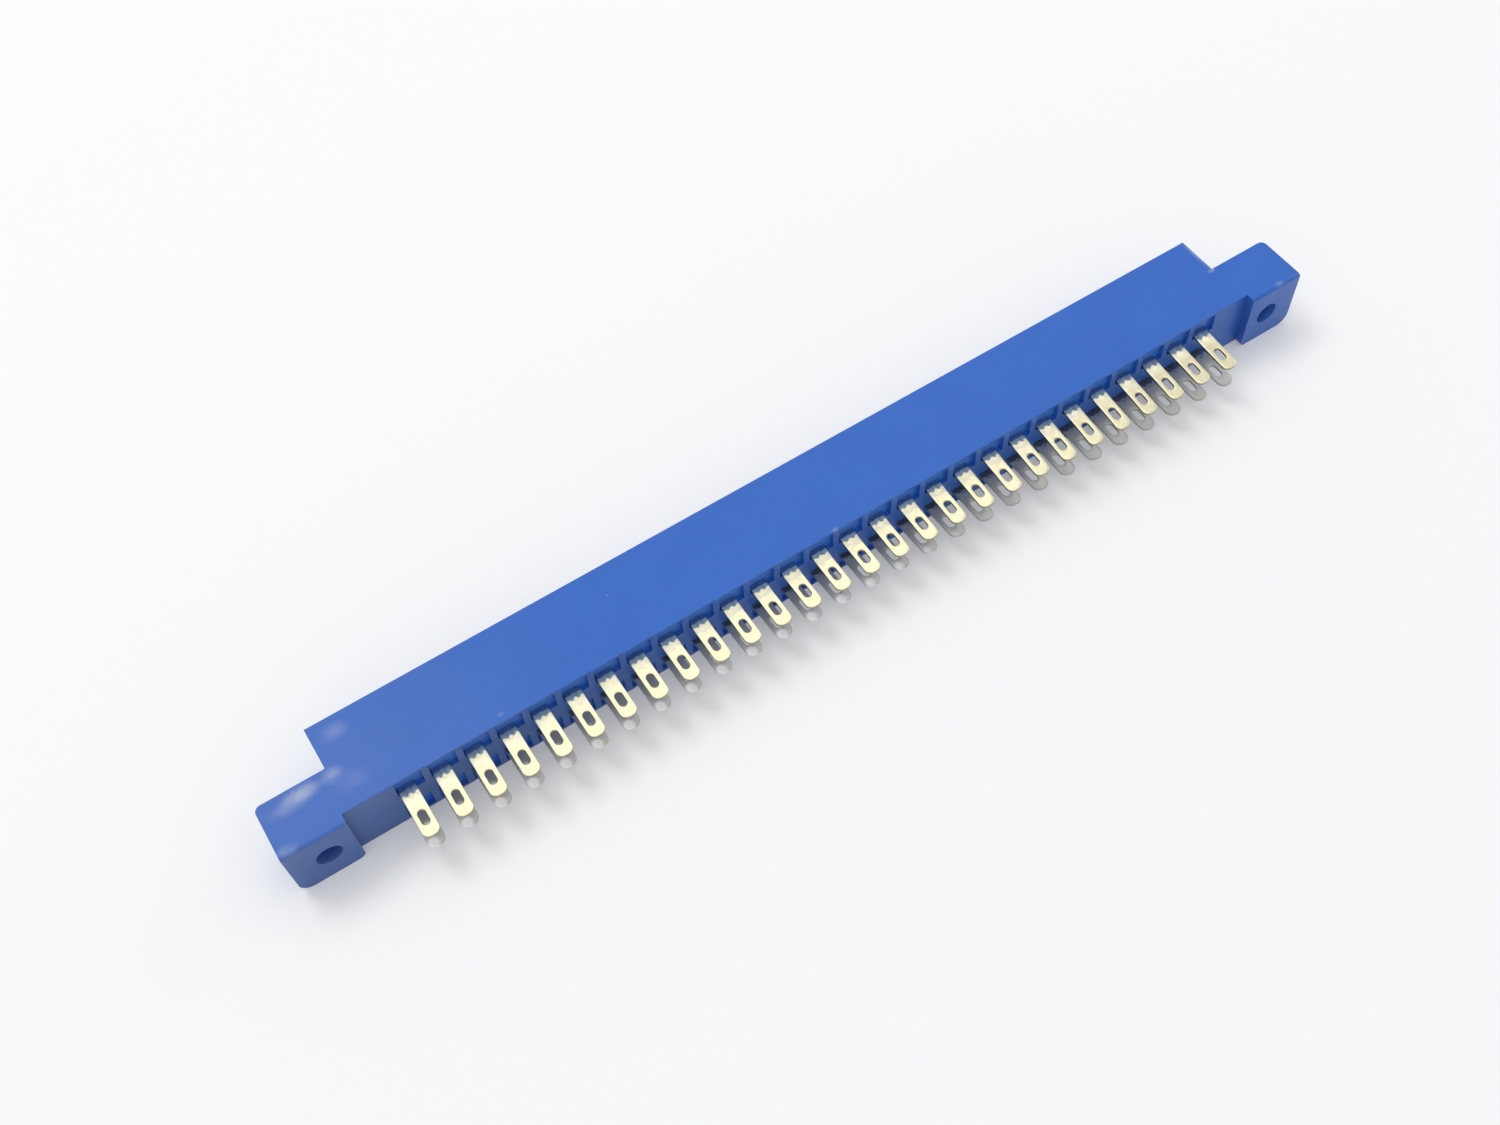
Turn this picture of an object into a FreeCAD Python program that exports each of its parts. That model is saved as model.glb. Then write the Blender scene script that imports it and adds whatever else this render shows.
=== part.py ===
import FreeCAD, Part
import math
import os
import re
import Sketcher

# Card edge connector with solder-eyelet tails: one moulded housing and two rows of formed contacts.
# X runs along the rows, +Y is the side that the card enters, and +Z is up from the broad face that
# it rests on. The origin is at mid-length, on that broad face, in the plane of the ears' card-side
# faces. A contact is drawn in its own frame, with Z counted from the middle of its tail's thickness
# and away from the card.

# Driving sizes: the cell's alias, its value in millimetres or as a plain number, and what it is.
sizes = [
    ("contact_count", "28", "positions in each row"),
    ("contact_pitch", "3.9624", "spacing of the positions"),
    ("row_spacing", "3.3", "between the middle planes of the two rows of tails"),
    ("housing_thickness", "8.5", "from broad face to broad face"),
    ("shroud_reach", "5.35", "from the ears' card-side faces to the mating face"),
    ("back_reach", "5.6", "from the ears' card-side faces to the tail-side face"),
    ("ear_step", "1.2", "how far the ears stand out behind the tail-side face"),
    ("slot_overrun", "2.7076", "card slot beyond the middle of the last position"),
    ("end_wall", "3.5", "card-side block beyond the card slot"),
    ("back_overhang", "0.7", "tail-side face beyond the card-side block"),
    ("ear_reach", "8.1", "from the card-side block to the end of the ear"),
    ("ear_hole_setout", "3.8", "from the card-side block to the axis of the fixing hole"),
    ("ear_hole_diameter", "2.95", "clears a 4-40 screw"),
    ("ear_corner_radius", "0.75", "upright corner on the card side of each end"),
    ("ear_sole_radius", "1.6", "long outer corner under each end"),
    ("ear_foot_radius", "0.8", "inner corner under each step"),
    ("ear_rim_radius", "0.45", "upper rim of each ear's tail-side face"),
    ("slot_width", "2.0", "card slot, for a card 1.57 thick"),
    ("slot_depth", "8.35", "from the mating face to the slot's floor"),
    ("slot_bevel", "0.8", "lead-in round the slot's mouth"),
    ("chamber_width", "2.4", "room for a spring, along the row"),
    ("chamber_height", "6.4", "over the two facing springs' chambers"),
    ("chamber_wall", "1.3", "between the chambers and the mating face"),
    ("recess_width", "3.16", "pocket round a tail in the tail-side face"),
    ("recess_shift", "0.45", "from the middle of a position to that of its pocket"),
    ("recess_depth", "0.55", "depth of that pocket"),
    ("recess_lip", "0.35", "between a pocket and the broad face beside it"),
    ("recess_web", "2.6", "between the upper and lower pockets"),
    ("passage_side_clearance", "0.03", "at each edge of a contact in its passage"),
    ("passage_face_clearance", "0.02", "at each face of a contact in its passage"),
    ("contact_width", "2.0", "strip"),
    ("contact_thickness", "0.35", "strip"),
    ("tail_reach", "6.15", "from the tail-side face to the tail's end"),
    ("tail_corner_radius", "0.85", "rounding of the tail's end"),
    ("eyelet_distance", "3.8", "from the tail-side face to the middle of the wire hole"),
    ("eyelet_length", "1.88", "oblong wire hole, along the tail"),
    ("eyelet_width", "0.93", "oblong wire hole, across the tail"),
    ("root_straight", "0.5", "flat stretch of a contact inside its chamber"),
    ("root_bend_radius", "1.5", "inside of the bend where the spring starts"),
    ("card_gap", "1.0", "between facing springs with no card in"),
    ("bow_radius", "1.2", "inside of the bow that presses on the card"),
    ("bow_setback", "3.15", "from the mating face to the middle of the bow"),
    ("tip_setback", "1.6", "from the mating face to the spring's tip"),
    ("tip_angle", "24", "slope of the tip away from the card, in degrees"),
]
size = {alias: float(value) for alias, value, meaning in sizes}

# Where things end along X, counted from mid-length, and what each place is worked out from.
last_position = "contact_pitch * (contact_count - 1) / 2"
block_end = last_position + " + slot_overrun + end_wall"
ends = {
    "slot_end": last_position + " + slot_overrun",
    "shroud_end": block_end,
    "back_end": block_end + " + back_overhang",
    "ear_end": block_end + " + ear_reach",
    "ear_hole_place": block_end + " + ear_hole_setout",
}

owner = {alias: "Sizes" for alias in size}
owner.update({name: "Ends" for name in ends})
named_value = re.compile(r"\b(%s)\b" % "|".join(owner))

along_y = FreeCAD.Vector(0, 1, 0)
along_z = FreeCAD.Vector(0, 0, 1)

document = FreeCAD.newDocument("card_edge_connector")
sheet = document.addObject("Spreadsheet::Sheet", "Sizes")
for row, (alias, value, meaning) in enumerate(sizes, start=1):
    sheet.set("A%d" % row, meaning)
    sheet.set("B%d" % row, value)
    sheet.setAlias("B%d" % row, alias)
document.recompute()


def bind(item, name, text):
    # Ties a property to the sizes and ends that the text names.
    item.setExpression(name, named_value.sub(lambda found: owner[found[0]] + "." + found[0], text))


places = document.addObject("App::VarSet", "Ends")
for name, text in ends.items():
    places.addProperty("App::PropertyFloat", name)
    bind(places, name, text)
document.recompute()
size.update({name: getattr(places, name) for name in ends})


def new_sketch(body, name, plane, offset="0"):
    # A sketch on one of the body's own origin planes, moved along that plane's normal.
    sketch = body.newObject("Sketcher::SketchObject", name)
    support = [item for item in body.Origin.OriginFeatures if item.Role == plane][0]
    sketch.AttachmentSupport = [(support, "")]
    sketch.MapMode = "FlatFace"
    bind(sketch, "AttachmentOffset.Base.z", offset)
    return sketch


def hold(sketch, constraint, text):
    # A driving constraint that starts at the drawn value and then follows an expression.
    index = sketch.addConstraint(Sketcher.Constraint(*constraint))
    bind(sketch, "Constraints[%d]" % index, text)


def hold_across(sketch, geometry, point, text):
    drawn = sketch.getPoint(geometry, point).x
    hold(sketch, ("DistanceX", -1, 1, geometry, point, drawn), text)


def hold_up(sketch, geometry, point, text):
    drawn = sketch.getPoint(geometry, point).y
    hold(sketch, ("DistanceY", -1, 1, geometry, point, drawn), text)


def hold_radius(sketch, geometry, text):
    hold(sketch, ("Radius", geometry, sketch.Geometry[geometry].Radius), text)


def polygon(sketch, corners):
    # A closed outline of straight lines through corners given as pairs of expressions.
    turns = [2 * math.pi * index / len(corners) for index in range(len(corners))]
    rough = [FreeCAD.Vector(10 * math.cos(turn), 10 * math.sin(turn), 0) for turn in turns]
    lines = [Part.LineSegment(rough[index - 1], rough[index]) for index in range(len(corners))]
    first = sketch.addGeometry(lines, False)[0]
    for index, (across, up) in enumerate(corners):
        following = first + (index + 1) % len(corners)
        sketch.addConstraint(Sketcher.Constraint("Coincident", first + index, 2, following, 1))
        hold_across(sketch, first + index, 2, across)
        hold_up(sketch, first + index, 2, up)


def rectangle(sketch, left, right, bottom, top):
    polygon(sketch, [(left, bottom), (right, bottom), (right, top), (left, top)])


def add_extrusion(body, kind, name, sketch, length, reverse=False):
    # A pad or a pocket of a sketch, to a length given as an expression.
    feature = body.newObject("PartDesign::" + kind, name)
    feature.Profile = sketch
    feature.Reversed = reverse
    bind(feature, "Length", length)
    document.recompute()
    return feature


def edges_in(shape, **planes):
    # Names of the edges that lie wholly in every plane given, where x counts on both sides.
    names = []
    for index, edge in enumerate(shape.Edges, start=1):
        points = [vertex.Point for vertex in edge.Vertexes] + [edge.CenterOfMass]
        places = {
            "x": [abs(point.x) for point in points],
            "y": [point.y for point in points],
            "z": [point.z for point in points],
        }
        if all(abs(place - planes[axis]) < 1e-4 for axis in planes for place in places[axis]):
            names.append("Edge%d" % index)
    return names


def soften(body, kind, name, edges, length):
    # A fillet or an even chamfer on named edges of the body as it stands.
    base = body.Tip
    feature = body.newObject("PartDesign::" + kind, name)
    feature.Base = (base, edges)
    bind(feature, "Radius" if kind == "Fillet" else "Size", length)
    document.recompute()
    body.Tip = feature
    return feature


def add_block(body):
    # The moulded block: a T-shaped plan, as thick as the housing.
    half = [
        ("back_end", "-back_reach"),
        ("back_end", "-back_reach - ear_step"),
        ("ear_end", "-back_reach - ear_step"),
        ("ear_end", "0"),
        ("shroud_end", "0"),
        ("shroud_end", "shroud_reach"),
    ]
    other_half = [("-" + across, along) for across, along in reversed(half)]
    plan = new_sketch(body, "housing_plan", "XY_Plane")
    polygon(plan, half + other_half)
    add_extrusion(body, "Pad", "housing_block", plan, "housing_thickness")


def soften_ears(body):
    # Rounded corners and rims of the two ears.
    upright = edges_in(body.Tip.Shape, x=size["ear_end"], y=0)
    soften(body, "Fillet", "ear_corners", upright, "ear_corner_radius")
    sole = edges_in(body.Tip.Shape, x=size["ear_end"], z=0)
    soften(body, "Fillet", "ear_soles", sole, "ear_sole_radius")
    foot = edges_in(body.Tip.Shape, x=size["back_end"], z=0)
    soften(body, "Fillet", "ear_feet", foot, "ear_foot_radius")
    ear_back = -size["back_reach"] - size["ear_step"]
    rim = edges_in(body.Tip.Shape, y=ear_back, z=size["housing_thickness"])
    soften(body, "Fillet", "ear_rims", rim, "ear_rim_radius")


def cut_card_slot(body):
    # The slot for the card's edge, closed at both ends, with a lead-in round its mouth.
    mouth = new_sketch(body, "slot_mouth", "XZ_Plane", "-shroud_reach")
    bottom = "housing_thickness / 2 - slot_width / 2"
    top = "housing_thickness / 2 + slot_width / 2"
    rectangle(mouth, "-slot_end", "slot_end", bottom, top)
    add_extrusion(body, "Pocket", "card_slot", mouth, "slot_depth", reverse=True)
    front, middle = size["shroud_reach"], size["housing_thickness"] / 2
    edges = edges_in(body.Tip.Shape, x=size["slot_end"], y=front)
    for z in (middle - size["slot_width"] / 2, middle + size["slot_width"] / 2):
        edges += edges_in(body.Tip.Shape, y=front, z=z)
    soften(body, "Chamfer", "slot_lead_in", edges, "slot_bevel")


def cut_ear_holes(body):
    # A plain fixing hole through each ear, across the rows.
    holes = new_sketch(body, "ear_hole_circles", "XZ_Plane", "back_reach + ear_step")
    for across in ("-ear_hole_place", "ear_hole_place"):
        circle = Part.Circle(FreeCAD.Vector(), along_z, size["ear_hole_diameter"] / 2)
        index = holes.addGeometry(circle, False)
        hold_across(holes, index, 3, across)
        hold_up(holes, index, 3, "housing_thickness / 2")
        hold_radius(holes, index, "ear_hole_diameter / 2")
    pocket = add_extrusion(body, "Pocket", "ear_holes", holes, "back_reach + ear_step")
    pocket.Type = "ThroughAll"


def cut_contact_comb(body):
    # At each position: a pocket round each tail, a passage for each contact and a shared chamber.
    left, right = "-(" + last_position + ") - %s / 2", "-(" + last_position + ") + %s / 2"
    pocket_left = left % "recess_width" + " + recess_shift"
    pocket_right = right % "recess_width" + " + recess_shift"

    pockets = new_sketch(body, "recess_outlines", "XZ_Plane", "back_reach")
    outer, inner = "recess_lip", "housing_thickness / 2 - recess_web / 2"
    rectangle(pockets, pocket_left, pocket_right, outer, inner)
    upper = ("housing_thickness - (%s)" % inner, "housing_thickness - " + outer)
    rectangle(pockets, pocket_left, pocket_right, *upper)
    recess = add_extrusion(body, "Pocket", "tail_recesses", pockets, "recess_depth")

    slits = new_sketch(body, "passage_outlines", "XZ_Plane", "back_reach")
    width = "(contact_width + 2 * passage_side_clearance)"
    half_height = "(contact_thickness / 2 + passage_face_clearance)"
    for row_middle in ("(housing_thickness - row_spacing) / 2", "(housing_thickness + row_spacing) / 2"):
        bottom, top = row_middle + " - " + half_height, row_middle + " + " + half_height
        rectangle(slits, left % width, right % width, bottom, top)
    floor = "back_reach + shroud_reach - slot_depth"
    passage = add_extrusion(body, "Pocket", "contact_passages", slits, floor)

    top_of_chamber = "housing_thickness / 2 + chamber_height / 2"
    room = new_sketch(body, "chamber_outline", "XY_Plane", top_of_chamber)
    back, front = "shroud_reach - slot_depth", "shroud_reach - chamber_wall"
    rectangle(room, left % "chamber_width", right % "chamber_width", back, front)
    chamber = add_extrusion(body, "Pocket", "spring_chambers", room, "chamber_height")

    comb = body.newObject("PartDesign::LinearPattern", "contact_comb")
    comb.Originals = [recess, passage, chamber]
    comb.Direction = ([item for item in body.Origin.OriginFeatures if item.Role == "X_Axis"][0], [""])
    comb.Mode = "Spacing"
    bind(comb, "Offset", "contact_pitch")
    bind(comb, "Occurrences", "contact_count")
    body.Tip = comb
    document.recompute()


def make_housing():
    body = document.addObject("PartDesign::Body", "housing")
    add_block(body)
    soften_ears(body)
    cut_card_slot(body)
    cut_ear_holes(body)
    cut_contact_comb(body)
    return body


def draw_contact_profile(sketch):
    # Side view of the strip: a flat tail, a slope towards the card, a bow and a lifted tip.
    # Across the sketch is +Y, up is away from the card. The slope touches the root's bend and the
    # bow, so its angle follows from their centres: the two radii added up, over the centres'
    # distance, is the sine of the slope plus that of the line between the centres.
    thickness = size["contact_thickness"]
    card_face = (size["card_gap"] - size["row_spacing"]) / 2
    tail_end = FreeCAD.Vector(-size["back_reach"] - size["tail_reach"], thickness / 2, 0)
    tip_place = size["shroud_reach"] - size["tip_setback"]
    root_radius, bow_radius = size["root_bend_radius"], size["bow_radius"]
    root = FreeCAD.Vector(
        size["shroud_reach"] - size["slot_depth"] + size["root_straight"], -thickness / 2 - root_radius, 0
    )
    bow = FreeCAD.Vector(size["shroud_reach"] - size["bow_setback"], card_face + thickness + bow_radius, 0)
    span = bow - root
    slope = math.asin((root_radius + bow_radius + thickness) / span.Length) - math.atan2(span.y, span.x)
    lift = math.radians(size["tip_angle"])

    def arc(centre, radius, start, end):
        return Part.ArcOfCircle(Part.Circle(centre, along_z, radius), start, end)

    quarter = math.pi / 2
    root_arcs = [
        arc(root, radius, quarter - slope, quarter) for radius in (root_radius + thickness, root_radius)
    ]
    bow_arcs = [
        arc(bow, radius, 3 * quarter - slope, 3 * quarter + lift)
        for radius in (bow_radius, bow_radius + thickness)
    ]
    rise = FreeCAD.Vector(math.cos(lift), math.sin(lift), 0)
    tip_points = [
        bow_arc.EndPoint + rise * ((tip_place - bow_arc.EndPoint.x) / rise.x) for bow_arc in bow_arcs
    ]
    tail_ends = [tail_end, FreeCAD.Vector(tail_end.x, -tail_end.y, 0)]
    lines = []
    for side in (0, 1):
        lines.append(Part.LineSegment(tail_ends[side], root_arcs[side].EndPoint))
        lines.append(Part.LineSegment(root_arcs[side].StartPoint, bow_arcs[side].StartPoint))
        lines.append(Part.LineSegment(bow_arcs[side].EndPoint, tip_points[side]))
    lines.append(Part.LineSegment(*tail_ends))
    lines.append(Part.LineSegment(*tip_points))
    sketch.addGeometry(lines + root_arcs + bow_arcs, False)

    outer_tail, outer_slope, outer_tip, card_tail, card_slope, card_tip, tail_cut, tip_cut = range(8)
    outer_root, card_root, outer_bow, card_bow = range(8, 12)
    start, end, centre = 1, 2, 3

    def join(kind, *places):
        sketch.addConstraint(Sketcher.Constraint(kind, *places))

    sides = (
        (outer_tail, outer_slope, outer_tip, outer_root, outer_bow),
        (card_tail, card_slope, card_tip, card_root, card_bow),
    )
    for point, (tail, slant, nose, root_arc, bow_arc) in zip((start, end), sides):
        join("Tangent", tail, end, root_arc, end)
        join("Tangent", root_arc, start, slant, start)
        join("Tangent", slant, end, bow_arc, start)
        join("Tangent", bow_arc, end, nose, start)
        join("Coincident", tail_cut, point, tail, start)
        join("Coincident", tip_cut, point, nose, end)
        join("Horizontal", tail)
    join("Coincident", outer_root, centre, card_root, centre)
    join("Coincident", outer_bow, centre, card_bow, centre)
    join("Vertical", tail_cut)
    join("Parallel", outer_tip, card_tip)
    join("Perpendicular", outer_tip, tip_cut)
    hold_radius(sketch, card_root, "root_bend_radius")
    hold_radius(sketch, outer_root, "root_bend_radius + contact_thickness")
    hold_radius(sketch, outer_bow, "bow_radius")
    hold_radius(sketch, card_bow, "bow_radius + contact_thickness")
    hold_across(sketch, outer_tail, start, "-back_reach - tail_reach")
    hold_up(sketch, outer_tail, start, "contact_thickness / 2")
    hold_across(sketch, outer_root, centre, "shroud_reach - slot_depth + root_straight")
    hold_across(sketch, outer_bow, centre, "shroud_reach - bow_setback")
    hold_up(sketch, outer_bow, centre, "(card_gap - row_spacing) / 2 + contact_thickness + bow_radius")
    hold_across(sketch, card_tip, end, "shroud_reach - tip_setback")
    hold(sketch, ("Angle", outer_tip, lift), "tip_angle * 1 deg")


def draw_eyelet(sketch):
    # The oblong wire hole. Each end is a half circle taken in four straight steps of 45 degrees.
    middle = "-back_reach - eyelet_distance"
    offset = "(eyelet_length - eyelet_width) / 2"
    corners = []
    for side, first_turn in (("+", 0), ("-", 180)):
        for turn in range(first_turn, first_turn + 181, 45):
            across = "eyelet_width / 2 * cos(%d deg)" % turn
            up = "%s %s %s + eyelet_width / 2 * sin(%d deg)" % (middle, side, offset, turn)
            corners.append((across, up))
    polygon(sketch, corners)


def draw_tail_corners(sketch):
    # What is cut off the strip's two end corners, along quarter circles in steps of 30 degrees.
    tail_end = "-back_reach - tail_reach"
    inset = "contact_width / 2 - tail_corner_radius"
    corners = [("contact_width / 2", tail_end)]
    for turn in (0, 30, 60, 90):
        across = inset + " + tail_corner_radius * cos(%d deg)" % turn
        up = tail_end + " + tail_corner_radius * (1 - sin(%d deg))" % turn
        corners.append((across, up))
    polygon(sketch, corners)
    polygon(sketch, [("-(%s)" % across, up) for across, up in corners])


def make_contact(name):
    # One formed strip, stamped with a round end and an eyelet.
    body = document.addObject("PartDesign::Body", name)
    profile = new_sketch(body, "contact_profile", "YZ_Plane", "-contact_width / 2")
    draw_contact_profile(profile)
    add_extrusion(body, "Pad", "contact_strip", profile, "contact_width")
    for stamping, draw in (("tail_corners", draw_tail_corners), ("eyelet", draw_eyelet)):
        outline = new_sketch(body, stamping + "_outline", "XY_Plane", "contact_thickness / 2")
        draw(outline)
        add_extrusion(body, "Pocket", stamping, outline, "contact_thickness")
    return body


def repeat_contact(pattern_piece, name):
    # A body of its own for another contact from the same tool.
    body = document.addObject("PartDesign::Body", name)
    copy = document.addObject("PartDesign::FeatureBase", name + "_strip")
    body.Group = [copy]
    copy.BaseFeature = pattern_piece
    body.Tip = copy
    return body


def seat_contact(body, row, number):
    # Places a contact at its position; in the lower row the strip is turned over.
    bind(body, "Placement.Base.x", "contact_pitch * (%d - (contact_count + 1) / 2)" % number)
    if row == "lower":
        body.Placement.Rotation = FreeCAD.Rotation(along_y, 180)
    sign = "+" if row == "upper" else "-"
    bind(body, "Placement.Base.z", "(housing_thickness %s row_spacing) / 2" % sign)


def check_and_export(bodies):
    # Stops on any failed object or unsound solid, then writes one file for each piece.
    for item in document.Objects:
        if "Invalid" in item.State or "Error" in item.State:
            raise RuntimeError("%s did not build" % item.Name)
    for body in bodies:
        if body.Shape.isNull() or not body.Shape.isValid() or len(body.Shape.Solids) != 1:
            raise RuntimeError("%s is not one sound solid" % body.Label)
    os.makedirs("parts", exist_ok=True)
    for body in bodies:
        body.Shape.exportStep("parts/%s.step" % body.Label)


pieces = [make_housing()]
first_contact = None
for row in ("upper", "lower"):
    for number in range(1, int(size["contact_count"]) + 1):
        name = "%s_contact_%02d" % (row, number)
        contact = repeat_contact(first_contact, name) if first_contact else make_contact(name)
        first_contact = first_contact or contact
        seat_contact(contact, row, number)
        pieces.append(contact)
document.recompute()
check_and_export(pieces)
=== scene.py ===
import math

import bpy
import numpy as np
from mathutils import Euler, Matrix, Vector


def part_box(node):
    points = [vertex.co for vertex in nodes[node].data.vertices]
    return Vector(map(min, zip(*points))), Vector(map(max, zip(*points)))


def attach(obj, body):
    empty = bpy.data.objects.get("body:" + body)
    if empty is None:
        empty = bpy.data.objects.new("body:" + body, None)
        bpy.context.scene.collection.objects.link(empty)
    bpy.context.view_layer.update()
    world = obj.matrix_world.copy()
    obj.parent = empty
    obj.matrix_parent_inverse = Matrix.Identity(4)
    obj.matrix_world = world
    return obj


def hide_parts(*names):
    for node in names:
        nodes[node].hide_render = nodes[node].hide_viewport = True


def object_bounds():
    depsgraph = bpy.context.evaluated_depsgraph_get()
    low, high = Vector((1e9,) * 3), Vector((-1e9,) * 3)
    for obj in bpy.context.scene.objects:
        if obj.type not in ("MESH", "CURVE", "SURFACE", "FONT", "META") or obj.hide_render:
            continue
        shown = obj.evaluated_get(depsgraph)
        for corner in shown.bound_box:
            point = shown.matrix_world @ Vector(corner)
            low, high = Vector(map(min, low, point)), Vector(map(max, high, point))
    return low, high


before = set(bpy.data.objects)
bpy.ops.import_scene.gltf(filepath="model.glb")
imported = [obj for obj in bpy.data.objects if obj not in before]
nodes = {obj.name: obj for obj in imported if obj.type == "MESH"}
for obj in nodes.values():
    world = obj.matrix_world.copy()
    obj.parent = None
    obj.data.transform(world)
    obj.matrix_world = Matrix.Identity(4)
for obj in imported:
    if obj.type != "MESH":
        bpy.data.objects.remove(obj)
cadLow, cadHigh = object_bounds()
mm = 0.001
print("frame loaded:", len(nodes), "nodes")


# Contact: a stamped strip, bent along a path in the YZ plane and seated at its node's place.
# Lengths in millimetres, counted along the strip from the end of its tail, and angles in degrees.

contactSizes = dict(
    width=2.0, thickness=0.35, edgeRadius=0.06,
    tailCorner=0.85, eyeletMiddle=2.35, eyeletLength=1.88, eyeletWidth=0.93, tailStraight=9.25,
    rootRadius=1.5, bowRadius=1.2, bowAhead=4.7, cardFace=-1.15, tipAhead=6.25, tipAngle=24.0,
    # Bead and ramp at the root, which fade out inside the housing.
    beadStart=4.75, beadHalfWidth=0.44, beadHeight=0.11, rampStart=4.2, rampLength=1.9,
    rampHeight=0.18, fadeStart=7.2, fadeLength=1.2,
    # Where the plate gets its painted highlight at the root, its painted shade at the root and a painted
    # glint at the tip.
    highlightStart=4.0, highlightLength=0.5, highlightShare=0.6, rootShadeStart=5.22, rootShadeFade=0.5,
    dentPlace=0.42, dentWidth=0.18, dentDepth=0.26, glintPlace=(0.38, 0.45), glintSize=(0.65, 0.8),
    # How the tails stand, by their places along X: bent up, set deeper and leaning.
    tailFace=-5.6, tailReach=6.15, liftTip=0.75, liftEnd=45.0, liftWhole=-5.0, liftPower=1.3,
    settleDepth=0.53, settleReach=55.0, settleLength=1.75, settlePower=1.3,
    leanTip=-0.42, leanPlace=37.6, leanReach=22.0, leanPower=1.5,
    # The mesh: ring round the eyelet, columns across, rows in each stretch, turns down the wall.
    ringLength=4.7, ringShares=(0, 0.35, 0.7, 1), sideAngles=(60, -55), sideSteps=12,
    cornerSteps=8, middleHalf=0.48, middleColumns=11, outerColumn=0.7, fineEnd=6.8,
    rowCounts=(22, 4, 4, 3, 8, 3), wallTurns=(60, 30, 0, 0, -30, -60),
    wallShares=(0, 0.4, 1, 1, 1, 1),
)


def way(values, start, length):
    # How far the values are along a length from its start, from 0 to 1.
    return np.clip((values - start) / length, 0, 1)


def softStep(share):
    # Three times the share's square less twice its cube.
    return share * share * (3 - 2 * share)


def stripPath(along, sizes):
    # Middle line: straight tail, arc down to the slope, arc up round the bow, straight tip. An arc
    # is its centre plus radius times (sine, cosine) of the turned angle. Gives y, z, the unit
    # normal's y and z, and the lengths at which the five stretches end.
    half = sizes["thickness"] / 2
    rootRadius, bowRadius = sizes["rootRadius"] + half, sizes["bowRadius"] + half
    forward = sizes["bowAhead"]
    rise = sizes["cardFace"] + sizes["thickness"] + sizes["bowRadius"] + rootRadius
    reach = math.hypot(forward, rise)
    slope = math.asin((rootRadius + bowRadius) / reach) - math.atan2(rise, forward)
    slant = math.sqrt(reach ** 2 - (rootRadius + bowRadius) ** 2)
    lift = math.radians(sizes["tipAngle"])
    tip = (sizes["tipAhead"] - forward - bowRadius * math.sin(lift)) / math.cos(lift)
    ends = np.cumsum([sizes["tailStraight"], rootRadius * slope, slant, bowRadius * (slope + lift), tip])

    tail = np.clip(along, None, ends[0])
    rootTurn = np.clip(along - ends[0], 0, rootRadius * slope) / rootRadius
    slopePart = np.clip(along - ends[1], 0, slant)
    bowTurn = np.clip(along - ends[2], 0, bowRadius * (slope + lift)) / bowRadius
    tipPart = np.clip(along - ends[3], 0, tip)
    y = (tail + rootRadius * np.sin(rootTurn) + slopePart * math.cos(slope)
         + bowRadius * (math.sin(slope) + np.sin(bowTurn - slope)) + tipPart * math.cos(lift))
    z = (rootRadius * (np.cos(rootTurn) - 1) - slopePart * math.sin(slope)
         + bowRadius * (math.cos(slope) - np.cos(bowTurn - slope)) + tipPart * math.sin(lift))
    heading = bowTurn - rootTurn
    return y, z, -np.sin(heading), np.cos(heading), ends


def eyeletRing(sizes, columns):
    # Rings from the oblong eyelet out to the rounded tail end, in (across, along). The eyelet's
    # point for an angle is half its width times (cosine, sine), moved along by its straight half
    # length. Gives the points, and how many lie in one ring.
    inset = sizes["edgeRadius"]
    half = columns[-1]
    corner = sizes["tailCorner"] - inset
    middle = sizes["eyeletMiddle"]
    sideTurn = np.radians(np.linspace(*sizes["sideAngles"], sizes["sideSteps"]))
    cornerTurn = np.radians(np.linspace(0, -90, sizes["cornerSteps"]))
    side = np.concatenate([
        np.stack([np.full(len(sideTurn), half), middle + half * np.tan(sideTurn)], 1),
        np.stack([half - corner + corner * np.cos(cornerTurn),
                  inset + corner + corner * np.sin(cornerTurn)], 1),
    ])
    closing = np.stack([columns[::-1], np.full(len(columns), sizes["ringLength"])], 1)
    outer = np.concatenate([closing, side * [-1, 1], side[::-1]])

    holeHalf = sizes["eyeletWidth"] / 2 + inset
    holeStraight = (sizes["eyeletLength"] - sizes["eyeletWidth"]) / 2
    turn = np.arctan2(outer[:, 1] - middle, outer[:, 0])
    inner = np.stack([holeHalf * np.cos(turn),
                      middle + np.sign(np.sin(turn)) * holeStraight + holeHalf * np.sin(turn)], 1)
    shares = np.array(sizes["ringShares"])[:, None, None]
    return (inner + (outer - inner) * shares).reshape(-1, 2), len(outer)


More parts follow.
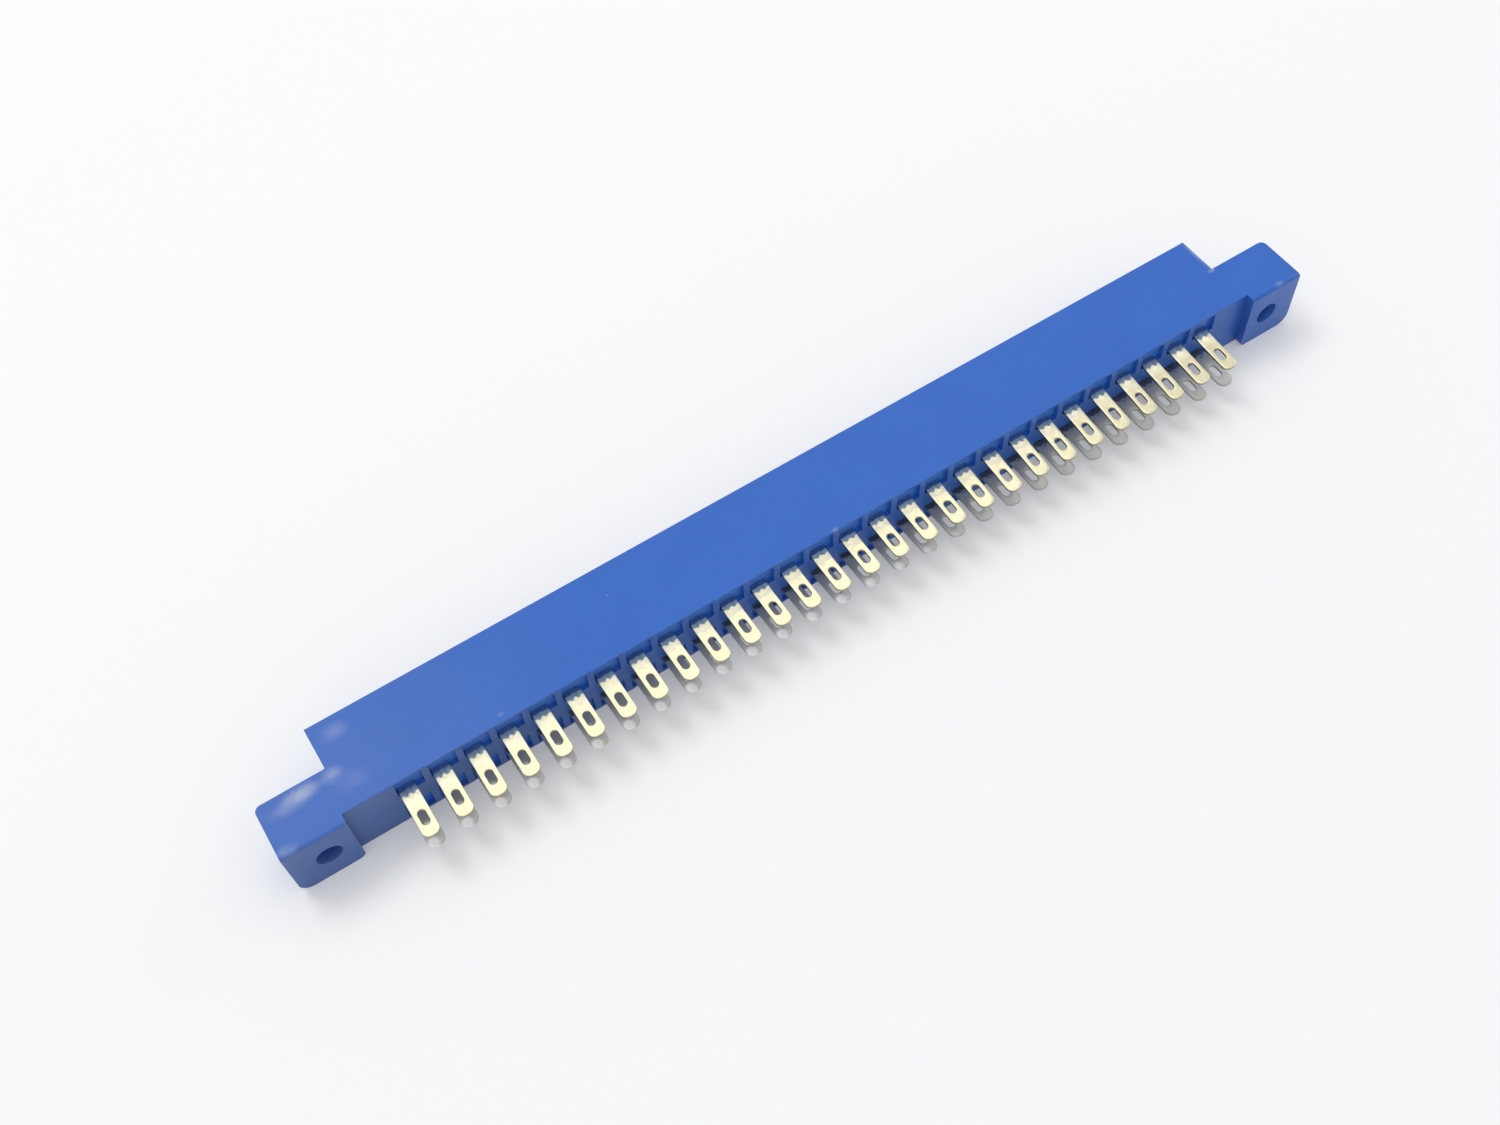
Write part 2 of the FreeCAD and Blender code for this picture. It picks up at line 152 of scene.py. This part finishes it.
def stripSheet(sizes):
    # The strip laid flat, in (across, along), drawn in by the edge radius: the rings round the
    # eyelet, then a grid of rows and columns up to the tip. A stretch's row count takes in the
    # row that it shares with the one before. Gives points, quads and the two boundary loops.
    half = sizes["width"] / 2 - sizes["edgeRadius"]
    fine = np.linspace(-sizes["middleHalf"], sizes["middleHalf"], sizes["middleColumns"])
    columns = np.concatenate([[-half, -sizes["outerColumn"]], fine, [sizes["outerColumn"], half]])
    ring, around = eyeletRing(sizes, columns)
    ends = stripPath(np.zeros(1), sizes)[4]
    stops = [sizes["ringLength"], sizes["fineEnd"], *ends[:4], ends[4] - sizes["edgeRadius"]]
    rows = np.concatenate([np.linspace(start, stop, steps)[1:]
                           for start, stop, steps in zip(stops, stops[1:], sizes["rowCounts"])])
    strip = np.stack(np.meshgrid(columns, rows), -1).reshape(-1, 2)

    count = len(columns)
    lastRing = len(ring) - around
    step = np.arange(around)
    base = np.arange(0, lastRing, around)[:, None]
    following = (step + 1) % around
    ringQuads = np.stack([base + step, base + around + step, base + around + following,
                          base + following], -1).reshape(-1, 4)
    table = np.concatenate([[lastRing + np.arange(count)[::-1]],
                            len(ring) + np.arange(len(strip)).reshape(len(rows), count)])
    stripQuads = np.stack([table[:-1, :-1], table[:-1, 1:], table[1:, 1:], table[1:, :-1]], -1)
    quads = np.concatenate([ringQuads, stripQuads.reshape(-1, 4)])
    outerLoop = np.concatenate([table[:, -1], table[-1, -2::-1], table[-2::-1, 0],
                                lastRing + np.arange(count, around)])
    return np.concatenate([ring, strip]), quads, (outerLoop, step[::-1])


def outwardMitre(loop):
    # At each point of a closed loop with the sheet on its left: the two neighbouring edges'
    # outward normals added up, over one plus their dot product.
    edge = np.roll(loop, -1, axis=0) - loop
    normal = np.stack([edge[:, 1], -edge[:, 0]], 1) / np.linalg.norm(edge, axis=1)[:, None]
    before = np.roll(normal, 1, axis=0)
    return (normal + before) / (1 + (normal * before).sum(1))[:, None]


def flatShell(sizes):
    # Upper and lower sheets, and round each boundary loop a wall whose section is a half turn:
    # edge radius times (cosine outwards, sine upwards), split at the middle by the straight part.
    # Gives places on the flat strip, heights over its middle, quads, and each point's edge share,
    # 0 on the flats and 1 down the wall.
    sheet, quads, loops = stripSheet(sizes)
    radius = sizes["edgeRadius"]
    half = sizes["thickness"] / 2
    flat = [sheet, sheet]
    height = [np.full(len(sheet), half), np.full(len(sheet), -half)]
    faces = [quads, quads[:, ::-1] + len(sheet)]
    edgeShare = [np.zeros(2 * len(sheet))]
    total = 2 * len(sheet)
    turns = np.radians(sizes["wallTurns"])
    upperHalf = np.arange(len(turns)) < len(turns) / 2
    levels = np.where(upperHalf, 1, -1) * (half - radius) + radius * np.sin(turns)
    for loop in loops:
        wall = sheet[loop] + outwardMitre(sheet[loop]) * (radius * np.cos(turns))[:, None, None]
        flat.append(wall.reshape(-1, 2))
        height.append(np.repeat(levels, len(loop)))
        edgeShare.append(np.repeat(sizes["wallShares"], len(loop)))
        wallIndex = total + np.arange(len(turns) * len(loop)).reshape(len(turns), -1)
        rims = np.concatenate([loop[None], wallIndex, loop[None] + len(sheet)])
        ahead = np.roll(rims, -1, axis=1)
        faces.append(np.stack([rims[:-1], rims[1:], ahead[1:], ahead[:-1]], -1).reshape(-1, 4))
        total += wallIndex.size
    return [np.concatenate(parts) for parts in (flat, height, faces, edgeShare)]


def rootRelief(sizes, flat):
    # The bead is (1 - q squared) squared, q being the distance from the bead's middle line over
    # its half width. The ramp is the square of the way along it. Both fade out past the root.
    along = flat[:, 1]
    behind = np.minimum(0, along - sizes["beadStart"] - sizes["beadHalfWidth"])
    q = np.minimum(1, np.hypot(flat[:, 0], behind) / sizes["beadHalfWidth"])
    ramp = way(along, sizes["rampStart"], sizes["rampLength"]) ** 2
    kept = 1 - way(along, sizes["fadeStart"], sizes["fadeLength"])
    return (1 - q ** 2) ** 2 * kept, ramp * kept


def plateMarks(sizes, flat, height, bead):
    # Three values for each point: the painted highlight on the bead and the ramp; the painted shade
    # at the root, standing in for shade and the housing's dark reflection, a soft step along the root
    # that starts further out beside the bead, where two dents of a Gaussian's shape reach outwards;
    # and a painted glint, a Gaussian spot on one side of the tip.
    along = flat[:, 1]
    highlightAtRoot = sizes["highlightShare"] * way(along, sizes["highlightStart"], sizes["highlightLength"])
    dents = np.exp(-((np.abs(flat[:, 0]) - sizes["dentPlace"]) / sizes["dentWidth"]) ** 2)
    rootShaded = way(along + sizes["dentDepth"] * dents, sizes["rootShadeStart"], sizes["rootShadeFade"])
    glint = np.exp(-(((flat - sizes["glintPlace"]) / sizes["glintSize"]) ** 2).sum(1))
    rootHighlight = np.maximum(bead, highlightAtRoot) * (height > 0)
    return {"rootShade": softStep(rootShaded), "rootHighlight": rootHighlight, "tipGlint": glint}


def contactShell(sizes):
    # The flat shell, raised at its root and bent along the path: each point is the path's point
    # at its length, plus its height times the path's normal. Gives points, quads and the named
    # values of the points.
    flat, height, faces, edgeShare = flatShell(sizes)
    bead, ramp = rootRelief(sizes, flat)
    values = {"edgeShare": edgeShare, **plateMarks(sizes, flat, height, bead)}
    raised = height + sizes["beadHeight"] * bead + sizes["rampHeight"] * ramp
    y, z, normalY, normalZ = stripPath(flat[:, 1], sizes)[:4]
    return np.stack([flat[:, 0], y + normalY * raised, z + normalZ * raised], 1), faces, values


def meshPiece(name, points, quads, values=None):
    # A smooth-shaded object with its points in metres, and a named value on each point.
    mesh = bpy.data.meshes.new(name)
    mesh.from_pydata(points.tolist(), [], quads.tolist())
    mesh.polygons.foreach_set("use_smooth", np.ones(len(quads), bool))
    for key, value in (values or {}).items():
        mesh.attributes.new(key, "FLOAT", "POINT").data.foreach_set("value", value)
    mesh.update()
    piece = bpy.data.objects.new(name, mesh)
    bpy.context.scene.collection.objects.link(piece)
    return piece


# Materials

def newMaterial(name):
    material = bpy.data.materials.new(name)
    material.use_nodes = True
    shader = material.node_tree.nodes["Principled BSDF"]
    return material, material.node_tree, shader


def addNode(tree, kind, inputs=None, **settings):
    # An input is either another node's socket, which is linked, or a plain value.
    node = tree.nodes.new(kind)
    for key, value in settings.items():
        setattr(node, key, value)
    for key, value in (inputs or {}).items():
        if isinstance(value, bpy.types.NodeSocket):
            tree.links.new(value, node.inputs[key])
        else:
            node.inputs[key].default_value = value
    return node


def between(tree, value, low, high, start=0.0, end=1.0):
    # Maps low..high to start..end with soft shoulders.
    return addNode(tree, "ShaderNodeMapRange", {
        "Value": value, "From Min": low, "From Max": high, "To Min": start, "To Max": end},
        interpolation_type="SMOOTHSTEP").outputs["Result"]


def alongAxis(tree, axis, band, start=0.0, end=1.0):
    # The same for a place on an axis and a band in millimetres.
    return between(tree, axis, band[0] * mm, band[1] * mm, start, end)


def noise(tree, place, scale, detail, roughness=0.55, distortion=0.0):
    # A cloudy pattern from 0 to 1.
    return addNode(tree, "ShaderNodeTexNoise", {
        "Vector": place, "Scale": scale, "Detail": detail, "Roughness": roughness,
        "Distortion": distortion}).outputs["Fac"]


def patches(tree, place, scale, detail, low, high, start=0.0, end=1.0, **more):
    # Noise, mapped from low..high to start..end.
    return between(tree, noise(tree, place, scale, detail, **more), low, high, start, end)


def arith(tree, operation, first, second):
    return addNode(tree, "ShaderNodeMath", {0: first, 1: second}, operation=operation).outputs[0]


def multiplied(tree, *factors):
    result = factors[0]
    for factor in factors[1:]:
        result = arith(tree, "MULTIPLY", result, factor)
    return result


def mixColour(tree, share, first, second):
    # Sockets 0, 6 and 7 of the Mix node are the share and the two colours.
    inputs = {0: share, 6: first, 7: second}
    return addNode(tree, "ShaderNodeMix", inputs, data_type="RGBA").outputs[2]


def objectPlace(tree, stretch=None):
    place = addNode(tree, "ShaderNodeTexCoord").outputs["Object"]
    if stretch is None:
        return place
    return addNode(tree, "ShaderNodeMapping", {"Vector": place, "Scale": stretch}).outputs["Vector"]


def roundSpot(tree, place, centre, radii, core=0.05):
    # 1 inside the core of an ellipsoid and 0 outside it, centre and radii in millimetres.
    scaled = addNode(tree, "ShaderNodeMapping", {
        "Vector": place, "Location": [-c / r for c, r in zip(centre, radii)],
        "Scale": [1 / (r * mm) for r in radii]}).outputs["Vector"]
    length = addNode(tree, "ShaderNodeVectorMath", {0: scaled}, operation="LENGTH").outputs["Value"]
    return between(tree, length, 1.0, core)


def pointValue(tree, name):
    return addNode(tree, "ShaderNodeAttribute", attribute_name=name).outputs["Fac"]


def fineRelief(tree, shader, height, strength, depth):
    # Bump of a depth in millimetres.
    bump = addNode(tree, "ShaderNodeBump", {"Height": height, "Strength": strength, "Distance": depth * mm})
    tree.links.new(bump.outputs["Normal"], shader.inputs["Normal"])


# Plastic. Places, reaches, depths, ends along X and the rear face's bands are in millimetres, the
# specks' band is in cells, scales are per metre, and low and high are values of the noise.

plasticLook = dict(
    blue=(0.024, 0.136, 0.560, 1), deepBlue=(0.022, 0.130, 0.540, 1), gloss=0.4,
    clouds=dict(scale=130, detail=5, low=0.35, high=0.65),
    roughPatches=dict(scale=300, detail=4, low=0.3, high=0.7, start=0.34, end=0.39),
    # pale, paleShare, palePlace and paleReach: a paler patch on the top's left end, a painted sheen where
    # the lamp's reflection lies.
    pale=(0.34, 0.36, 0.37, 1), paleShare=0.12, palePlace=(-64, -1, 8.5), paleReach=(40, 20, 6),
    # rear, rearShares, rearEnds, rearBand and rimBand: a greyer colour on the rear face below its rim, a
    # painted sheen that stands in for the floor's reflection.
    rear=(0.10, 0.14, 0.22, 1), rearShares=(0.44, 0.14), rearEnds=(-60, 0),
    rearBand=(-5.3, -5.6), rimBand=(8.5, 8.0),
    # pocket, pocketShare, pocketMouth, pocketBack and pocketTop: a brighter blue in the rear face's
    # pockets, painted light that lifts their shade.
    pocket=(0.045, 0.20, 0.69, 1), pocketShare=0.7, pocketMouth=(-5.5, -5.3),
    pocketBack=(-4.8, -5.0), pocketTop=(8.3, 8.1),
    scuffed=(0.50, 0.56, 0.70, 1),
    scuffPatches=dict(scale=420, detail=4, low=0.36, high=0.62, start=0.45, roughness=0.6, distortion=0.6),
    speckScale=420, speckBand=(0.08, 0.03), speckShare=0.3,
    speckPatches=dict(scale=110, detail=2, low=0.55, high=0.65),
    grainScale=9000, grainDetail=3, grainStrength=0.25, grainDepth=0.02,
)
# Scuffs, in millimetres: centre, half lengths along X, Y and Z, strength.
scuffs = [
    ((-62.9, -1.2, 8.5), (2.9, 1.3, 0.8), 0.62),
    ((-64.6, -1.8, 8.5), (3.4, 1.3, 0.7), 0.26),
    ((-59.4, -1.1, 8.5), (1.7, 1.3, 0.8), 0.44),
    ((-57.9, -2.7, 8.5), (2.8, 1.8, 0.6), 0.12),
    ((-57.2, 3.4, 8.5), (2.4, 1.5, 0.8), 0.22),
    ((-66.7, -6.1, 8.5), (1.6, 1.0, 0.8), 0.34),
    ((-41.5, -4.75, 8.5), (0.6, 0.35, 0.5), 0.24),
    ((0.4, -5.45, 8.5), (0.7, 0.35, 0.5), 0.52),
    ((59.45, -0.15, 8.5), (0.8, 0.4, 0.7), 0.55),
    ((59.6, 2.6, 8.45), (0.5, 4.2, 0.6), 0.34),
    ((64.7, -6.4, 8.4), (0.9, 0.5, 0.7), 0.26),
]


def rearColour(tree, place, colour, look):
    # Greyer below the rear face's rim, more so at the left: a painted sheen that stands in for the floor's
    # reflection there. Brighter blue in its pockets: painted light that lifts their shade.
    axes = addNode(tree, "ShaderNodeSeparateXYZ", {"Vector": place}).outputs
    rearSheenShare = multiplied(tree, alongAxis(tree, axes["Y"], look["rearBand"]),
                        alongAxis(tree, axes["Z"], look["rimBand"]),
                        alongAxis(tree, axes["X"], look["rearEnds"], *look["rearShares"]))
    colour = mixColour(tree, rearSheenShare, colour, look["rear"])
    # Painted light: a brighter blue in the pockets, lifting their shade.
    pocketLight = multiplied(tree, alongAxis(tree, axes["Y"], look["pocketMouth"], 0, look["pocketShare"]),
                          alongAxis(tree, axes["Y"], look["pocketBack"]),
                          alongAxis(tree, axes["Z"], look["pocketTop"]))
    return mixColour(tree, pocketLight, colour, look["pocket"])


def scuffedColour(tree, place, colour, look):
    worn = patches(tree, place, **look["scuffPatches"])
    for centre, radii, strength in scuffs:
        share = multiplied(tree, roundSpot(tree, place, centre, radii), strength, worn)
        colour = mixColour(tree, share, colour, look["scuffed"])
    return colour


def speckledColour(tree, place, colour, look):
    # Specks at the middles of the cells, in some patches only.
    cells = addNode(tree, "ShaderNodeTexVoronoi", {"Vector": place, "Scale": look["speckScale"]})
    specks = between(tree, cells.outputs["Distance"], *look["speckBand"], 0, look["speckShare"])
    share = multiplied(tree, specks, patches(tree, place, **look["speckPatches"]))
    return mixColour(tree, share, colour, look["scuffed"])


def bluePlastic(look):
    material, tree, shader = newMaterial("blueMouldedPlastic")
    place = objectPlace(tree)
    colour = mixColour(tree, patches(tree, place, **look["clouds"]), look["deepBlue"], look["blue"])
    # A paler patch on the left end of the top: painted sheen, standing in for the lamp's reflection there.
    leftEndSheen = roundSpot(tree, place, look["palePlace"], look["paleReach"])
    colour = mixColour(tree, multiplied(tree, leftEndSheen, look["paleShare"]), colour, look["pale"])
    colour = rearColour(tree, place, colour, look)
    colour = scuffedColour(tree, place, colour, look)
    colour = speckledColour(tree, place, colour, look)
    tree.links.new(colour, shader.inputs["Base Color"])
    tree.links.new(patches(tree, place, **look["roughPatches"]), shader.inputs["Roughness"])
    shader.inputs["Specular IOR Level"].default_value = look["gloss"]
    grain = noise(tree, place, look["grainScale"], look["grainDetail"])
    fineRelief(tree, shader, grain, look["grainStrength"], look["grainDepth"])
    return material


# Plate of the contacts: what both rows share, and each row's own look. Bands are of the points'
# values, ends are along X in millimetres, and the roughness is its least and its most.

plateLook = dict(
    mottle=dict(scale=420, detail=5, low=0.35, high=0.7),
    roughPatches=dict(scale=1500, detail=4, low=0.3, high=0.7),
    ragged=dict(scale=2600, detail=2, roughness=0.5), rootShadeBand=(0.75, 1.25), rootShadeShare=0.9,
    edgeStrength=0.75, drawnStretch=(9000, 500, 9000), drawnScale=1.0, drawnDetail=3,
    drawnStrength=0.3, drawnDepth=0.005,
)
goldLook = dict(
    plateLook, plate=(0.80, 0.75, 0.51, 1), dull=(0.76, 0.71, 0.475, 1), edge=(0.20, 0.18, 0.14, 1),
    rootShade=(0.16, 0.28, 0.45, 1), bright=(1.0, 0.95, 0.69, 1), roughness=(0.20, 0.29), metallic=1.0,
    brightTips=False, highlightBand=(0.05, 0.6), roughBand=(0.1, 0.6), highlightRough=0.10,
)
# The lower row's look: a greyer, half metallic copy of the gold, painted shade for the row that lies under
# the upper one.
shadedLook = dict(
    plateLook, plate=(0.60, 0.60, 0.57, 1), dull=(0.57, 0.57, 0.54, 1), edge=(0.38, 0.38, 0.37, 1),
    rootShade=(0.13, 0.16, 0.25, 1), bright=(1.0, 1.0, 0.98, 1), roughness=(0.34, 0.43), metallic=0.5,
    brightTips=True, tipsEnds=(30, -10), glintBand=(0.1, 0.7),
)


def platedMetal(name, look):
    # Mottled plate, with painted shade at the root, and darker on the strip's edges. Either the roots
    # get a painted highlight, or the tips towards the left get a painted glint, where the plate is
    # less metallic.
    material, tree, shader = newMaterial(name)
    place = objectPlace(tree)
    colour = mixColour(tree, patches(tree, place, **look["mottle"]), look["plate"], look["dull"])
    start, end = look["roughness"]
    rough = patches(tree, place, **look["roughPatches"], start=start, end=end)
    if not look["brightTips"]:
        rootHighlight = pointValue(tree, "rootHighlight")
        # Painted highlight on the bead and the root: brighter and a little rougher there.
        colour = mixColour(tree, between(tree, rootHighlight, *look["highlightBand"]), colour, look["bright"])
        rougher = between(tree, rootHighlight, *look["roughBand"], 0, look["highlightRough"])
        rough = arith(tree, "ADD", rough, rougher)
    # Painted shade at the root: the dark blue that shade and the housing's reflection give the metal there.
    ragged = arith(tree, "ADD", pointValue(tree, "rootShade"), noise(tree, place, **look["ragged"]))
    rootShaded = between(tree, ragged, *look["rootShadeBand"], 0, look["rootShadeShare"])
    colour = mixColour(tree, rootShaded, colour, look["rootShade"])
    edge = multiplied(tree, pointValue(tree, "edgeShare"), look["edgeStrength"])
    colour = mixColour(tree, edge, colour, look["edge"])
    if look["brightTips"]:
        # Painted glint on the lower tips towards the left: whiter and less metallic there.
        axes = addNode(tree, "ShaderNodeSeparateXYZ", {"Vector": place}).outputs
        atLeft = alongAxis(tree, axes["X"], look["tipsEnds"])
        glint = multiplied(tree, pointValue(tree, "tipGlint"), atLeft)
        share = between(tree, glint, *look["glintBand"])
        colour = mixColour(tree, share, colour, look["bright"])
        tree.links.new(between(tree, share, 0, 1, look["metallic"], 0), shader.inputs["Metallic"])
    else:
        shader.inputs["Metallic"].default_value = look["metallic"]
    tree.links.new(colour, shader.inputs["Base Color"])
    tree.links.new(rough, shader.inputs["Roughness"])
    drawn = noise(tree, objectPlace(tree, look["drawnStretch"]), look["drawnScale"], look["drawnDetail"])
    fineRelief(tree, shader, drawn, look["drawnStrength"], look["drawnDepth"])
    return material


plastic = bluePlastic(plasticLook)
gold = platedMetal("paleGoldPlate", goldLook)
shadedGold = platedMetal("shadedGoldPlate", shadedLook)
print("materials made")


# Pieces

housingSizes = dict(weldReach=0.002, flatAngle=1.0, edgeRadius=0.12, edgeSegments=2, edgeAngle=30.0)


def dressHousing(node, sizes):
    # Joins the loose faces, then rounds every edge that turns by more than the edge angle.
    weld = node.modifiers.new("weld", "WELD")
    weld.merge_threshold = sizes["weldReach"] * mm
    merge = node.modifiers.new("flatFaces", "DECIMATE")
    merge.decimate_type = "DISSOLVE"
    merge.angle_limit = math.radians(sizes["flatAngle"])
    bevel = node.modifiers.new("roundedEdges", "BEVEL")
    bevel.width = sizes["edgeRadius"] * mm
    bevel.segments = sizes["edgeSegments"]
    bevel.limit_method = "ANGLE"
    bevel.angle_limit = math.radians(sizes["edgeAngle"])
    bevel.harden_normals = True
    node.data.materials.clear()
    node.data.materials.append(plastic)


def bentTail(sizes, points, middle):
    # The lower row's tails are bent upwards, more towards the left: the lift at the tip is a soft
    # step in X, and along the tail it grows with a power of the way out from the rear face.
    lift = sizes["liftTip"] * softStep(way(middle, sizes["liftEnd"], sizes["liftWhole"] - sizes["liftEnd"]))
    out = way(points[:, 1], sizes["tailFace"], -sizes["tailReach"])
    return points + np.outer(lift * out ** sizes["liftPower"], [0, 0, 1])


def leaningTail(sizes, points, middle):
    # On the right the upper tails lean left, by a Gaussian in X and a power of the way out.
    lean = sizes["leanTip"] * math.exp(-((middle - sizes["leanPlace"]) / sizes["leanReach"]) ** 2)
    out = way(points[:, 1], sizes["tailFace"], -sizes["tailReach"])
    return points + np.outer(lean * out ** sizes["leanPower"], [1, 0, 0])


def settledTail(sizes, points, middle):
    # Towards the middle of each row the tails are set deeper, by a power of one minus the square
    # of the way to the row's end, and the strip closes up between eyelet and rear face.
    deeper = sizes["settleDepth"] * (1 - (middle / sizes["settleReach"]) ** 2) ** sizes["settlePower"]
    closed = way(points[:, 1], sizes["tailFace"], -sizes["settleLength"])
    return points + np.outer(deeper * closed, [0, 1, 0])


def seatContacts(sizes):
    # The lower row's shells are turned over. Each goes to its node's middle in X, tail end in Y
    # and tail's middle in Z, and then gets the stand of its own tail.
    shell, quads, values = contactShell(sizes)
    half = sizes["thickness"] / 2 * mm
    for name, node in nodes.items():
        if "contact" not in name:
            continue
        low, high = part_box(name)
        upper = name.startswith("upper")
        turnedOver = np.array([1, 1, 1] if upper else [-1, 1, -1])
        seat = np.array([(low.x + high.x) / 2, low.y, high.z - half if upper else low.z + half]) / mm
        points = settledTail(sizes, shell * turnedOver + seat, seat[0])
        shapeTail = leaningTail if upper else bentTail
        points = shapeTail(sizes, points, seat[0])
        piece = meshPiece(name.replace("_contact_", "Contact"), points * mm, quads, values)
        plate = gold if upper else shadedGold
        piece.data.materials.append(plate)
        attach(piece, "root")
        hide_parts(name)
        node.data.materials.clear()
        node.data.materials.append(plate)


dressHousing(nodes["housing"], housingSizes)
seatContacts(contactSizes)
print("pieces made")


# Studio: lengths in metres, lamps in watts.

studio = dict(
    floorSize=3.0, floorColour=(0.79, 0.80, 0.805, 1), floorRoughness=0.9, floorGloss=0.1,
    floorShown=0.185, worldLevel=0.66, worldShown=0.85,
)
lamps = [
    dict(name="keyLamp", place=(-0.25, 0.55, 1.0), size=(0.5, 0.4), power=3.15, mirrored=False),
    dict(name="wideLamp", place=(0.11, 0.72, 1.5), size=(1.5, 1.1), power=3.1, mirrored=True),
    dict(name="sideLamp", place=(0.9, 0.1, 0.45), size=(0.5, 0.5), power=0.7, mirrored=True),
]


def seenDirectly(tree):
    # 1 for camera, glossy and transmission rays, 0 for the rest.
    path = addNode(tree, "ShaderNodeLightPath").outputs
    return arith(tree, "MAXIMUM", path["Is Camera Ray"],
                 arith(tree, "MAXIMUM", path["Is Glossy Ray"], path["Is Transmission Ray"]))


def makeFloor(settings):
    half = settings["floorSize"] / 2
    corners = np.array([[-half, -half, 0], [half, -half, 0], [half, half, 0], [-half, half, 0]])
    floor = meshPiece("floor", corners + [0, 0, float(cadLow[2])], np.array([[0, 1, 2, 3]]))
    material, tree, shader = newMaterial("paleFloor")
    shader.inputs["Base Color"].default_value = settings["floorColour"]
    shader.inputs["Roughness"].default_value = settings["floorRoughness"]
    shader.inputs["Specular IOR Level"].default_value = settings["floorGloss"]
    shader.inputs["Emission Color"].default_value = (1, 1, 1, 1)
    shown = multiplied(tree, seenDirectly(tree), settings["floorShown"])
    tree.links.new(shown, shader.inputs["Emission Strength"])
    floor.data.materials.append(material)


def makeLamp(name, place, size, power, mirrored):
    # A lamp that faces the object; one that isn't mirrored leaves no reflection.
    lamp = bpy.data.lights.new(name, "AREA")
    lamp.shape = "RECTANGLE"
    lamp.size, lamp.size_y = size
    lamp.energy = power
    holder = bpy.data.objects.new(name, lamp)
    holder.location = place
    holder.rotation_euler = (-Vector(place)).to_track_quat("-Z", "Y").to_euler()
    holder.visible_glossy = mirrored
    bpy.context.scene.collection.objects.link(holder)


def makeWorld(level, shown):
    # Rays that show the surroundings see pale grey; the rest get the studio's level.
    world = bpy.data.worlds.new("studio")
    bpy.context.scene.world = world
    world.use_nodes = True
    tree = world.node_tree
    strength = between(tree, seenDirectly(tree), 0, 1, level, shown)
    background = tree.nodes["Background"]
    background.inputs["Color"].default_value = (1, 1, 1, 1)
    tree.links.new(strength, background.inputs["Strength"])


makeFloor(studio)
for lamp in lamps:
    makeLamp(**lamp)
makeWorld(studio["worldLevel"], studio["worldShown"])
bpy.context.scene.view_settings.view_transform = "Standard"
print("studio made")


# Camera: lens, sensor, place and nearest distance in millimetres, turns in degrees, as fitted to
# the photograph.

cameraSetup = dict(
    lens=38.925, sensor=36.0, nearest=10.0,
    place=(-54.903, -87.931, 159.503), turns=(32.219, 2.8205, -32.6707),
)

cameraData = bpy.data.cameras.new("camera")
cameraData.lens = cameraSetup["lens"]
cameraData.sensor_width = cameraSetup["sensor"]
cameraData.sensor_fit = "HORIZONTAL"
cameraData.clip_start = cameraSetup["nearest"] * mm
camera = bpy.data.objects.new("camera", cameraData)
camera.location = Vector(cameraSetup["place"]) * mm
camera.rotation_euler = Euler([math.radians(turn) for turn in cameraSetup["turns"]], "XYZ")
bpy.context.scene.collection.objects.link(camera)
bpy.context.scene.camera = camera
bpy.context.view_layer.update()
